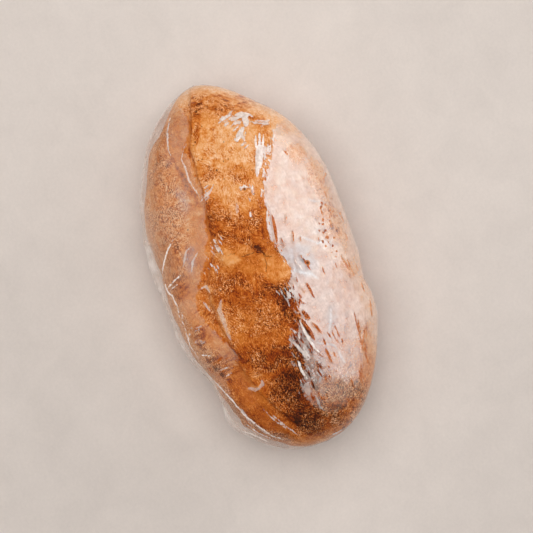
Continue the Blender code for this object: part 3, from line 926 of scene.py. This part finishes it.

# Raised folds and sheens, painted as milky highlights with a little real gloss and relief, and slits in the
# pale side where the film clings. Each row is half a width in pixels, for the bright ones how milky, and
# the line's points.
glints = (
    # over the golden end
    (3.0, 0.62, (235, 114.5), (250, 115)), (3.2, 0.62, (243, 115), (246, 121), (246, 127)),
    (1.8, 0.5, (230, 120), (240, 117)), (1.6, 0.5, (232, 124), (242, 121)),
    (1.3, 0.6, (220, 122), (226, 117), (233, 114)), (1.2, 0.55, (222, 119), (231, 114)),
    (0.8, 0.5, (224, 125), (230, 121)), (0.8, 0.5, (231, 121), (236, 118)),
    (2.7, 0.62, (244, 126), (240, 133), (236, 142)), (1.6, 0.5, (241, 133), (245, 141)),
    (1.0, 0.5, (233, 138), (238, 142)), (0.9, 0.6, (247, 113), (254, 117)),
    (1.1, 0.6, (259, 123), (270, 124)), (0.8, 0.5, (262, 120), (269, 122)),
    (0.7, 0.45, (240, 146), (247, 142)), (0.7, 0.4, (244, 149), (249, 144)),
    (1.2, 0.62, (255.5, 135), (256, 150)), (1.3, 0.62, (259.5, 132), (259.5, 151)),
    (1.2, 0.62, (263.5, 134), (262.5, 151)), (4.0, 0.56, (260, 143), (259.5, 156), (258, 168)),
    (2.2, 0.62, (257.5, 158), (257.5, 177)), (0.9, 0.5, (262.5, 160), (260, 169)),
    (0.8, 0.5, (265, 171), (262, 178)), (0.6, 0.5, (268, 143), (267, 158)),
    (0.6, 0.5, (271, 138), (270, 156)), (0.7, 0.5, (274, 128), (273, 148)),
    (0.6, 0.5, (265.5, 150), (264.5, 161)), (0.6, 0.45, (238, 118), (230, 128)),
    (0.6, 0.45, (241, 122), (234, 131)), (0.6, 0.45, (246, 130), (243, 146)),
    (0.5, 0.4, (237, 126), (232, 133)), (0.8, 0.45, (262, 188), (261, 198)),
    # down its middle
    (1.2, 0.6, (240.6, 189), (244, 186), (248, 188)), (0.8, 0.6, (253, 184), (251.6, 194)),
    (0.9, 0.6, (250, 210), (250.6, 218)), (1.6, 0.12, (237, 202), (237, 215)),
    (0.7, 0.4, (214, 184), (208, 196)), (0.55, 0.6, (215, 236), (222.4, 245.4)),
    (0.5, 0.6, (214, 244), (220, 254)), (0.45, 0.5, (211, 245), (214, 250)),
    (0.45, 0.5, (218, 234), (224, 241)), (0.45, 0.5, (213, 239), (216, 244)),
    (0.5, 0.5, (206, 266), (211, 270)), (0.5, 0.6, (212, 264), (218, 272)),
    (0.5, 0.5, (214, 268), (219, 275)), (0.45, 0.5, (209, 261), (213, 267)),
    (0.45, 0.5, (216, 264), (220, 270)), (0.45, 0.4, (203, 271), (207, 275)),
    (0.45, 0.4, (220, 250), (224, 256)), (0.45, 0.45, (207, 254), (210, 260)),
    (0.45, 0.4, (200, 198), (208, 192)), (0.45, 0.4, (199, 203), (212, 190)),
    # beside the pale side
    (1.2, 0.44, (268, 204), (267, 215), (268, 226), (271, 240)), (0.6, 0.55, (284, 287), (291, 298)),
    (0.6, 0.55, (288, 285), (296, 301)), (0.5, 0.5, (276, 290), (281, 297)),
    (0.5, 0.5, (280, 288), (284, 295)), (0.5, 0.5, (286, 292), (290, 301)),
    (0.8, 0.6, (294, 258), (300, 268)), (0.7, 0.6, (298, 262), (304, 272)),
    (1.5, 0.74, (300, 322), (306, 334), (314.6, 348), (322, 355)),
    (1.6, 0.6, (291, 340), (302, 351), (309, 362)), (1.3, 0.7, (297.6, 359), (302, 371.8), (308, 380)),
    (0.8, 0.6, (295, 330), (302, 342)), (1.0, 0.55, (303, 346), (310, 359)),
    (0.7, 0.5, (288, 337), (295, 346)), (3.0, 0.26, (306, 382), (309, 396)),
    (1.2, 0.3, (314, 392), (320, 406), (325, 412)), (0.6, 0.6, (311, 377), (316, 383)),
    (0.5, 0.6, (292, 328), (297, 336)), (0.5, 0.5, (300, 378), (303, 388)),
    # the folded flank
    (0.65, 0.78, (173.4, 239), (167.8, 249.4), (163.6, 263.4), (161.5, 277)),
    (0.7, 0.75, (182, 274), (174, 281), (166, 290)), (0.55, 0.7, (178, 284), (170, 290.4)),
    (0.55, 0.6, (161.5, 276), (167.8, 292.8), (172, 295.6), (178, 309.6), (180, 321)),
    (0.6, 0.55, (182.5, 310), (181.8, 320.8), (186, 332), (190, 346), (199, 359)),
    (0.6, 0.7, (198, 355), (205, 355.6), (212, 356)),
    (0.8, 0.50, (170.6, 116), (167, 132), (168, 149), (172, 158)),
    (0.8, 0.50, (184.6, 146), (182, 158.6), (186, 168), (190, 181), (196, 191), (200, 199)),
    (1.1, 0.45, (191.6, 274), (193, 262), (199, 251)), (1.0, 0.35, (183, 268), (186, 252), (192, 246)),
    (2.2, 0.13, (222, 298), (219, 310), (224, 322), (228, 336)), (1.4, 0.13, (226, 330), (231, 341)),
    (1.2, 0.28, (199, 290), (206, 286), (211, 294)), (1.0, 0.28, (203, 300), (212, 312)),
    (1.8, 0.2, (247, 388), (255, 390), (261, 388)), (1.6, 0.2, (258, 389), (263, 384), (261, 379)),
    (0.7, 0.40, (219, 371), (225, 368.5), (230, 367)), (0.6, 0.40, (225, 377), (233, 372)),
    # long folds at the foot, and the gathered skirt
    (0.8, 0.6, (200, 367), (216, 383), (232.8, 401), (244, 415), (258, 426.4), (272, 436), (287, 441)),
    (0.7, 0.55, (220, 395), (227, 412.4), (236, 431)),
    (0.7, 0.6, (235, 430), (249.6, 433.4), (262, 439), (270, 443)),
    (0.6, 0.4, (271, 414), (286, 426.4), (301, 437)), (0.5, 0.4, (345, 428), (337, 433), (329, 436)),
    (0.5, 0.4, (262, 408), (274, 420), (288, 430)), (0.6, 0.5, (246, 424), (258, 433), (274, 440)),
)
slits = (
    (0.6, (286.4, 213), (286.6, 223)), (0.7, (292.6, 228), (294, 244)), (0.7, (280.6, 237), (285, 246)),
    (1.1, (299, 253), (304, 260), (308, 266), (311.4, 272)), (1.9, (306, 260), (310, 264.6)),
    (1.2, (304.6, 280), (310, 289), (315.4, 300)), (0.6, (303, 286), (306, 294)),
    (0.5, (292.6, 281), (294.4, 292)), (0.55, (296, 275), (298, 285)),
    (0.9, (297.6, 298), (302, 302.4), (307, 304.4)), (0.9, (302.6, 309), (307, 314), (311.6, 320)),
    (1.3, (311.6, 322), (316, 326), (322, 334)), (2.3, (300.6, 319), (308, 329), (315.4, 341)),
    (0.8, (309, 346), (313, 357)), (1.4, (325, 347), (328, 354), (332.4, 363)),
    (0.8, (316, 358), (319, 372)), (1.2, (305, 365), (311, 378)), (0.8, (336.6, 330), (340, 338)),
    (0.9, (341.6, 338), (343.4, 344)), (0.6, (322, 266), (325, 275)), (0.8, (320, 207), (323.4, 216)),
    (0.7, (324, 190), (327, 198)), (0.7, (330, 220), (332, 229)), (0.6, (341, 214), (344, 223)),
    (0.6, (327, 240), (331, 246)), (0.8, (339, 253), (346, 264), (351, 273)),
    (0.7, (346, 257), (350, 266), (355, 277)), (0.7, (352, 304), (356, 320), (361, 342)),
    (0.8, (365, 326), (363, 342), (362, 353)), (0.7, (366, 324), (367, 340)),
    (1.0, (359, 368), (361, 378), (364, 388)), (0.8, (357.6, 318), (361, 336)),
    (1.0, (370, 298), (372.4, 318)), (0.9, (283, 149), (289, 156)),
    (1.6, (271.6, 212), (275, 228), (277.4, 245)), (0.6, (318, 236), (320, 243)),
    (0.6, (335, 262), (338, 270)), (0.5, (300, 236), (301, 243)), (0.6, (361, 282), (365, 292)),
    (0.6, (345, 232), (348, 240)), (1.2, (311, 380), (315, 390)), (0.9, (350, 376), (356, 392)),
    (0.7, (346, 398), (353, 404)), (0.6, (355, 262), (359, 272)),
)
creases = (                   # fine grey lines in the pale side: width and points
    (0.9, ((315, 343), (326, 343.8), (334, 345), (338, 349))), (0.9, ((338, 349), (341, 356), (346, 364))),
    (1.0, ((331, 306), (331, 320), (329, 334), (331, 343))), (0.8, ((308, 199), (316, 201.6), (322, 200))),
    (0.9, ((316, 244), (324, 241), (330, 243), (334, 237))), (0.8, ((300, 236), (310, 240), (318, 243))),
    (1.0, ((290, 268), (300, 272), (312, 274), (320, 280))), (1.2, ((318, 366), (322, 374), (319, 384))),
)
# marks strewn over ovals: x, y, reach x, reach y, how many, turn, length, half the width, and milk of
# the painted highlight, which is none for a slit
strewnMarks = (
    (303, 338, 6, 32, 22, 57, 10, 0.85, None), (292, 336, 4, 30, 16, 57, 9, 0.75, 0.30),
    (309, 356, 8, 24, 14, 57, 9, 0.75, 0.34), (361, 345, 7, 30, 9, 78, 15, 0.6, None),
    (294, 298, 6, 12, 10, 62, 6, 0.75, None), (286, 292, 7, 6, 8, 62, 8, 0.6, 0.40),
    (330, 215, 12, 50, 34, 64, 3, 1.1, None), (305, 388, 8, 16, 10, 60, 6, 0.8, 0.30),
    (318, 394, 10, 14, 14, 70, 5, 0.9, None), (214, 246, 7, 9, 7, 48, 9, 0.4, 0.5),
    (226, 122, 9, 8, 10, -35, 7, 0.8, 0.6), (258, 122, 12, 5, 8, 10, 6, 0.8, 0.55),
    (266, 160, 4, 26, 14, 86, 7, 0.9, 0.55), (248, 188, 10, 8, 7, 80, 5, 0.9, 0.5),
    (204, 196, 6, 8, 7, -40, 7, 0.75, 0.5), (194, 340, 7, 16, 10, -30, 6, 0.75, 0.35),
    (236, 420, 30, 12, 10, 38, 14, 0.75, 0.45), (326, 350, 14, 40, 12, 62, 7, 0.9, None),
    (214, 366, 12, 9, 12, -32, 8, 0.7, None),
)
markSetup = {
    "high": 0.35,             # mm that a glint or slit rises, and the share of that of a strewn one
    "strewnHigh": 0.6,
    "reach": (1.2, 0.3, 2.0), # its relief's width, as a share of the mark's, pixels more, and the most
    "milk": (0.5, 0.12),      # milk of a glint's painted highlight where none is stated, and what is added to the stated ones
    "raised": (0.7, -0.7),    # share of fine strokes that stand up, and how deep the others go
    "fine": 1.5,              # how much stronger the fine strokes are than stated
    # finer strokes strewn over ovals: x, y, reach x, reach y, how many, turn, length, width, mm high
    "strewn": (
        (290, 300, 14, 40, 46, 58, 7.0, 0.9, 0.16), (305, 350, 16, 40, 44, 55, 7.0, 0.9, 0.18),
        (268, 190, 10, 60, 40, 84, 7.0, 0.9, 0.12), (345, 310, 22, 70, 46, 66, 8.0, 0.9, 0.12),
        (236, 122, 26, 12, 16, -35, 7.0, 0.9, 0.16), (186, 112, 12, 16, 30, -22, 8.0, 0.9, 0.16),
        (218, 372, 22, 20, 30, -32, 9.0, 1.0, 0.28), (200, 320, 22, 30, 40, -40, 8.0, 0.9, 0.14),
        (216, 262, 12, 34, 24, 48, 6.0, 0.8, 0.12), (170, 200, 24, 60, 40, 70, 7.0, 0.9, 0.08),
    ),
}


def pulledTaut(points, setup):
    # the film rises over a hollow to the straight line between points on either side of it
    middle = np.array((0.0, gridSetup["spineHeight"]))
    flat = points[..., 1:] - middle
    reach = np.linalg.norm(flat, axis=-1)
    ways = flat / reach[..., None]
    taut = reach.copy()
    # twice over the spans, as a wide span can leave a hollow to a narrow one
    for span in list(range(2, setup["tautSpan"], 2)) * 2:
        left = np.roll(ways * taut[..., None], span, axis=1)
        chord = np.roll(ways * taut[..., None], -span, axis=1) - left
        meet = ((left[..., 0] * chord[..., 1] - left[..., 1] * chord[..., 0])
                / (ways[..., 0] * chord[..., 1] - ways[..., 1] * chord[..., 0]))
        taut = np.maximum(taut, np.minimum(meet, reach + setup["tautMost"]))
    rise = blurred((taut - reach) * setup["tautShare"], setup["tautSoft"], 1, True)
    return points + np.concatenate([0 * rise[..., None], ways * rise[..., None]], -1)


def palePast(edges):
    # how far inside the pale side a point lies, past its left edge and above its lower one, in pixels
    line, end = np.array(edges["pale"], float), np.array(edges["paleEnd"], float)
    reach, cell = edges["paleStray"]
    inside = photoX + edgeWobble - np.interp(photoY, line[:, 0], line[:, 1])
    above = np.interp(photoX, end[:, 0], end[:, 1]) - photoY + reach * softNoise(photoX, photoY, 0, cell, 93)
    return inside, above


def milkAndPaintedLightOf(edges, above, strayed):
    # how milky the film looks, with the pale side's painted reflection and its rim's painted light, and the
    # share of that which is left toward the pale side's lower end
    least, *span = edges["lift"]
    lift = least + (1 - least) * smoothStep(*span, above)
    low, *span = edges["lowPaintedReflection"]
    right = edges["palePaintedReflection"] + (low - edges["palePaintedReflection"]) * smoothStep(*span, photoY)
    # toward the rim the milk is set to the rim's, partly painted rim light, with more of it high up
    more, *span = edges["highRimPaintedLight"]
    paintedRimLight = smoothStep(*edges["rimFrom"], faceUp)
    right += (edges["rimMilkAndPaintedLight"] + more * smoothStep(*span, photoY) - right) * paintedRimLight
    more, mottle, cell = edges["bandMilk"]
    left = edges["milk"] + more * foldBand * (1 + mottle * layeredNoise(photoX, photoY, 0, cell, 90))
    hazeAndPaintedLight = (left + (right - left) * smoothStep(*edges["sideChange"], photoX)) * lift
    for *oval, milk, stray in hazeAndPaintedLightSpots:
        hazeAndPaintedLight += (milk - hazeAndPaintedLight) * patchShare(onPhoto, oval, strayed, stray)
    mottle, cell = edges["mottle"]
    hazeAndPaintedLight *= 1 + mottle * layeredNoise(photoX, photoY, 0, cell, 98)
    milk, mottle, cell = edges["underMilk"]
    under = 1 + mottle * layeredNoise(formX, formY, formZ, cell, 99)
    return hazeAndPaintedLight * onTop + milk * (1 - onTop) * under, lift


def filmMarks(setup, marking):
    # the relief of glints, slits and strokes in mm, and their fields: glare, its milk as painted highlight,
    # and clinging
    marks = np.zeros(photoX.shape)
    glare, cling = np.zeros(photoX.shape), np.zeros(photoX.shape)
    milkElse, milkMore = marking["milk"]
    glareMilk = np.full(photoX.shape, milkElse)
    high = marking["high"]
    wider, beyond, most = marking["reach"]
    for half, milk, *line in glints:
        field = strokeField(line, half)
        glareMilk = np.where(field > glare, milk + milkMore, glareMilk)
        glare = np.maximum(glare, field)
        marks = np.maximum(marks, high * strokeShare(line, min(wider * half + beyond, most)))
    draw = np.random.default_rng(setup["seed"])
    upShare, sunk = marking["raised"]
    for *place, width, tall in marking["strewn"]:
        for line in strewnLines(draw, *place):
            sign = 1 if draw.uniform() < upShare else sunk
            rise = marking["fine"] * tall * sign * draw.uniform(*strokeSetup["heights"])
            marks += rise * strokeShare(line, width)
    draw = np.random.default_rng(setup["seed"] + 1)
    for *place, half, milk in strewnMarks:
        for line in strewnLines(draw, *place):
            field = strokeField(line, half * draw.uniform(*strokeSetup["widths"]))
            if milk is None:
                cling = np.maximum(cling, field)
                continue
            glareMilk = np.where(field > glare, milk * draw.uniform(*strokeSetup["milks"]), glareMilk)
            glare = np.maximum(glare, field)
            marks = np.maximum(marks, marking["strewnHigh"] * high * strokeShare(line, wider))
    for half, *line in slits:
        cling = np.maximum(cling, strokeField(line, half))
        share = strokeShare(line, wider * half + beyond)
        marks = marks * (1 - share) + high * share
    return marks * onTop, glare * upward, glareMilk, cling * upward


def sideFolds(setup):
    # gathers that run down the sides, in mm, and how milky the film of the skirt looks
    around, down, amount = setup["gathers"]
    side = smoothStep(*setup["side"], faceUp) * smoothStep(*setup["sideFoot"], faceUp)
    slender, perTurn = setup["roundLoaf"]
    pleats = layeredNoise(np.arctan2(formY * slender, formX) * perTurn / around, formZ / down, 0, 1.0, 87, 2)
    skirt = np.clip(standingOff / setup["skirtFull"], 0, 1) * side * (1 + setup["skirtPleats"] * pleats)
    return amount * side * pleats, skirt


def shapeFilm(setup, edges, marking):
    height, skirt = sideFolds(setup)
    for k, (length, width, amount) in enumerate(setup["ripples"]):
        height += amount * softNoise(formX / length, formY / width, formZ / width, 1.0, 81 + k)
    marks, glare, glareMilk, cling = filmMarks(setup, marking)
    height += marks
    points = pulledTaut(form, setup) + formOut * (height - setup["inset"])[..., None]
    points[..., 2] = np.maximum(points[..., 2], setup["lowest"])

    strayed = strays(photoX, photoY, 0, edges["stray"], ((94, 95), (96, 97)))
    inside, above = palePast(edges)
    fade = edges["paleFade"]
    pale = np.clip(0.5 + inside / fade, 0, 1) * smoothStep(-fade, fade, above)
    standing = np.maximum(pale, np.clip(0.5 + milkyPast / edges["milkyFade"], 0, 1))
    hazeAndPaintedLight, lift = milkAndPaintedLightOf(edges, above, strayed)
    cool = np.zeros(photoX.shape)
    for *oval, share, stray in coolSpots:
        cool = np.maximum(cool, share * patchShare(onPhoto, oval, strayed, stray))
    for width, line in creases:
        share = strokeShare(line, width)
        cool = np.maximum(cool, share)
        hazeAndPaintedLight += edges["creaseMilk"] * share
    warm = np.maximum(edges["warmFlank"] * foldedFlank, 1 - lift)
    layers = {"hazeAndPaintedLight": hazeAndPaintedLight, "cool": cool * onTop, "warm": warm * onTop, "skirt": skirt,
              "glare": glare * onTop, "glareMilk": glareMilk, "cling": cling * onTop,
              "standing": standing * onTop + edges["underStanding"] * (1 - onTop),
              "lift": 1 - (1 - lift) * onTop * smoothStep(*edges["liftFrom"], photoX)}
    return points, formTips.copy(), layers


filmFinish = {
    "gloss": (0.010, 0.064),  # mirrored share face on, where it clings and where it stands off
    "edgePower": 3.0,         # how narrow the glossier edge is, and how much glossier
    "edgeMost": 0.45,
    "roughness": 0.13,
    "milkColour": (0.99, 0.83, 0.74, 1.0),
    "coolColour": (0.72, 0.72, 0.74, 1.0),
    "warmColour": (0.99, 0.68, 0.47, 1.0),     # on the folded flank
    # the colour of the glints' painted highlights, and of the skirt
    "glareColour": (0.99, 0.88, 0.81, 1.0),
    "wetColour": (0.93, 0.82, 0.76, 1.0),
    "flatter": 0.9,           # how much flatter than it lies the milk is shaded
    "rimMilkAndPaintedLight": (0.42, 3.2),   # how milky it looks edge on, partly as painted rim light, and how narrow that edge is
    "skirtMilk": (0.95, 1.3), # and how milky the film of the skirt is
    "streaks": (850.0, 2.0, 0.6, 0.5),         # a noise, as for the crust
    "streakLength": 5.0,      # times their width
    "streakTurn": 10.0,       # degrees from the loaf's length
    "clouds": (330.0, 4.0, 0.65, 0.6),
    "ripple": (260.0, 2.0, 0.5, 0.4),
    "fray": (0.34, 0.24),     # how far streaks and clouds fray an edge, and for each kind of edge
    "frayed": {"glare": 1.05, "cling": 0.5, "standing": 2.0},
    "cutSpan": (0.44, 0.56),  # how crisp those edges are, around 0.5
    "patchy": (0.30, 0.65),   # how far streaks and clouds vary the milk, the glints and the skirt
    "glareClouds": 0.8,
    "skirtFray": 1.6,
    "bump": 0.12,
}


def filmMaterial(finish):
    material = bpy.data.materials.new("clearFilm")
    tree = nodesOf(material)
    place = placeOf(tree)
    normal = bumpOf(tree, noiseOf(tree, place, *finish["ripple"]), finish["bump"])
    edgeOn = addNode(tree, "ShaderNodeLayerWeight", {"Blend": 0.5, "Normal": normal}).outputs["Facing"]
    streaks = strokesOf(tree, place, finish["streakTurn"], finish["streakLength"], finish["streaks"])
    clouds = noiseOf(tree, place, *finish["clouds"])

    def mottled(strengths):
        return mathNode(tree, "ADD", swayOf(tree, streaks, strengths[0]), swayOf(tree, clouds, strengths[1]))

    frayed = mottled(finish["fray"])

    def cutOut(field):
        # a field in the mesh turned to a patch with a crisp, frayed edge
        value = mathNode(tree, "MULTIPLY_ADD", frayed, finish["frayed"][field], attributeOf(tree, field))
        return spanNode(tree, value, finish["cutSpan"])

    glares = cutOut("glare")
    clings = cutOut("cling")
    stands = times(tree, cutOut("standing"), mathNode(tree, "SUBTRACT", 1.0, clings))
    stands = times(tree, stands, attributeOf(tree, "lift"))
    low, high = finish["gloss"]
    face = mathNode(tree, "MULTIPLY_ADD", mathNode(tree, "MAXIMUM", stands, glares), high - low, low)
    edge = mathNode(tree, "POWER", edgeOn, finish["edgePower"])
    gloss = mathNode(tree, "MULTIPLY_ADD", edge, finish["edgeMost"], face, clamp=True)
    # where it clings in the pale side, the crust below looks wet and deeper
    wet = mixColours(tree, clings, (1, 1, 1, 1), finish["wetColour"])
    clear = addNode(tree, "ShaderNodeBsdfTransparent", {"Color": wet})
    skirt = attributeOf(tree, "skirt")
    tint = mixColours(tree, attributeOf(tree, "warm"), finish["milkColour"], finish["warmColour"])
    tint = mixColours(tree, attributeOf(tree, "cool"), tint, finish["coolColour"])
    tint = mixColours(tree, mathNode(tree, "MAXIMUM", glares, skirt), tint, finish["glareColour"])
    # the milk scatters light from all sides, so it is shaded as if it lay flatter than it does
    normalOut = addNode(tree, "ShaderNodeNewGeometry").outputs["Normal"]
    flatter = vectorNode(tree, "ADD", {0: normalOut, 1: (0, 0, finish["flatter"])})
    flatter = vectorNode(tree, "NORMALIZE", {0: flatter})
    milk = addNode(tree, "ShaderNodeBsdfDiffuse", {"Color": tint, "Normal": flatter})
    hazeAndPaintedLight = times(tree, attributeOf(tree, "hazeAndPaintedLight"), stands)
    hazeAndPaintedLight = times(tree, hazeAndPaintedLight, mathNode(tree, "ADD", mottled(finish["patchy"]), 1.0))
    # the film looks milkier edge on, partly as painted rim light
    most, power = finish["rimMilkAndPaintedLight"]
    hazeAndPaintedLight = mathNode(tree, "MULTIPLY_ADD", mathNode(tree, "POWER", edgeOn, power), most, hazeAndPaintedLight)
    most, power = finish["skirtMilk"]
    folds = times(tree, mathNode(tree, "POWER", edgeOn, power), times(tree, skirt, most))
    folds = times(tree, folds, mathNode(tree, "MULTIPLY_ADD", frayed, finish["skirtFray"], 1.0))
    hazeAndPaintedLight = mathNode(tree, "MAXIMUM", hazeAndPaintedLight, folds)
    # painted highlights along the glints: their milk, varied by the clouds
    cloudy = mathNode(tree, "ADD", swayOf(tree, clouds, finish["glareClouds"]), 1.0)
    bright = times(tree, times(tree, glares, attributeOf(tree, "glareMilk")), cloudy)
    hazeAndPaintedLight = mathNode(tree, "MAXIMUM", hazeAndPaintedLight, bright, clamp=True)
    body = addNode(tree, "ShaderNodeMixShader", {0: hazeAndPaintedLight, 1: clear.outputs[0], 2: milk.outputs[0]})
    shine = addNode(tree, "ShaderNodeBsdfAnisotropic", {
        "Color": (1, 1, 1, 1), "Roughness": finish["roughness"], "Normal": normal})
    surfaceOf(tree, addNode(tree, "ShaderNodeMixShader", {0: gloss, 1: body.outputs[0], 2: shine.outputs[0]}))
    return material


filmPoints, filmTips, filmLayers = shapeFilm(filmSetup, standOffEdges, markSetup)
film = gridMesh("film", filmPoints, filmTips, filmLayers)
film.data.materials.append(filmMaterial(filmFinish))
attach(film, "root")
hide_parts("wrapped_loaf")
print("film stretched over it")


# Floor, light and camera

floorSetup = {
    "size": 8.0,
    "colour": (0.725, 0.655, 0.605),
    # noises, as for the crust, and how much lighter or darker they make it
    "clouds": ((7.0, 4.0, 0.6, 0.5, 0.05), (38.0, 4.0, 0.6, 0.5, 0.035), (420.0, 4.0, 0.6, 0.5, 0.03)),
    "roughness": 0.8,
    "specular": 0.2,
}


def makeFloor(setup):
    half = setup["size"] / 2
    mesh = bpy.data.meshes.new("floor")
    corners = [(-half, -half, 0), (half, -half, 0), (half, half, 0), (-half, half, 0)]
    mesh.from_pydata(corners, [], [(0, 1, 2, 3)])
    floor = bpy.data.objects.new("floor", mesh)
    bpy.context.scene.collection.objects.link(floor)
    material = bpy.data.materials.new("paleFloor")
    tree = nodesOf(material)
    place = placeOf(tree)
    tone = 1.0
    for *noise, amount in setup["clouds"]:
        tone = mathNode(tree, "ADD", swayOf(tree, noiseOf(tree, place, *noise), amount * 2), tone)
    colour = vectorNode(tree, "SCALE", {0: setup["colour"], "Scale": tone})
    surfaceOf(tree, addNode(tree, "ShaderNodeBsdfPrincipled", {
        "Base Color": colour, "Roughness": setup["roughness"], "Specular IOR Level": setup["specular"]}))
    mesh.materials.append(material)


lightRows = {
    # the tall pale window that the film mirrors, in panes that grow dimmer downward
    "windowTop": {"radiance": 3.1, "away": 1.7, "turn": 85.0, "lift": 54.0, "wide": 2.6, "high": 1.20,
                  "colour": (0.95, 0.99, 1.03), "mirrored": True, "lights": False},
    "windowMiddle": {"radiance": 2.3, "away": 1.7, "turn": 85.0, "lift": 26.0, "wide": 2.6, "high": 0.62,
                     "colour": (0.98, 0.99, 1.02), "mirrored": True, "lights": False},
    "windowFoot": {"radiance": 1.7, "away": 1.7, "turn": 85.0, "lift": 8.0, "wide": 2.6, "high": 0.58,
                   "colour": (1.0, 0.99, 1.0), "mirrored": True, "lights": False},
    "leftWall": {"radiance": 0.30, "away": 1.8, "turn": 262.0, "lift": 30.0, "wide": 3.0, "high": 2.4,
                 "colour": (1.0, 0.96, 0.94), "mirrored": True, "lights": False},
    # the soft light of the room, which only falls on things
    "ceiling": {"radiance": 2.74, "away": 1.62, "turn": 196.0, "lift": 80.0, "wide": 1.7, "high": 1.7,
                "colour": (1.0, 0.985, 0.97), "mirrored": False, "lights": True},
    "windowLight": {"radiance": 2.0, "away": 1.9, "turn": 108.0, "lift": 17.0, "wide": 2.6, "high": 0.9,
                    "colour": (1.0, 0.985, 0.97), "mirrored": False, "lights": True},
    "leftFill": {"radiance": 0.6, "away": 1.9, "turn": 248.0, "lift": 14.0, "wide": 2.4, "high": 0.8,
                 "colour": (1.0, 0.90, 0.84), "mirrored": False, "lights": True},
}
roomGlow = 0.14
roomColour = (1.0, 0.97, 0.95, 1.0)


def makeLights(rows):
    for name, row in rows.items():
        lamp = bpy.data.lights.new(name, "AREA")
        lamp.shape = "RECTANGLE"
        lamp.size = row["wide"]
        lamp.size_y = row["high"]
        lamp.energy = row["radiance"] * row["wide"] * row["high"] * math.pi
        lamp.color = row["colour"]
        piece = bpy.data.objects.new(name, lamp)
        bpy.context.scene.collection.objects.link(piece)
        a, b = math.radians(row["turn"]), math.radians(row["lift"])
        way = Vector((math.cos(a) * math.cos(b), math.sin(a) * math.cos(b), math.sin(b)))
        piece.location = way * row["away"]
        piece.rotation_euler = way.to_track_quat("Z", "Y").to_euler()
        piece.visible_camera = False
        piece.visible_glossy = row["mirrored"]
        piece.visible_diffuse = row["lights"]
    world = bpy.data.worlds.new("room")
    bpy.context.scene.world = world
    world.use_nodes = True
    back = world.node_tree.nodes["Background"]
    back.inputs["Color"].default_value = roomColour
    back.inputs["Strength"].default_value = roomGlow


def makeCamera(setup):
    lens = bpy.data.cameras.new("camera")
    lens.lens = setup["lens"]
    lens.sensor_width = setup["sensor"]
    camera = bpy.data.objects.new("camera", lens)
    bpy.context.scene.collection.objects.link(camera)
    camera.location = (setup["middle"][0] * mm, setup["middle"][1] * mm, setup["height"])
    camera.rotation_euler = (0, 0, math.radians(setup["turn"]))
    bpy.context.scene.camera = camera


makeFloor(floorSetup)
makeLights(lightRows)
makeCamera(cameraSetup)
bpy.context.scene.view_settings.view_transform = "Standard"
print("floor, lights and camera set")
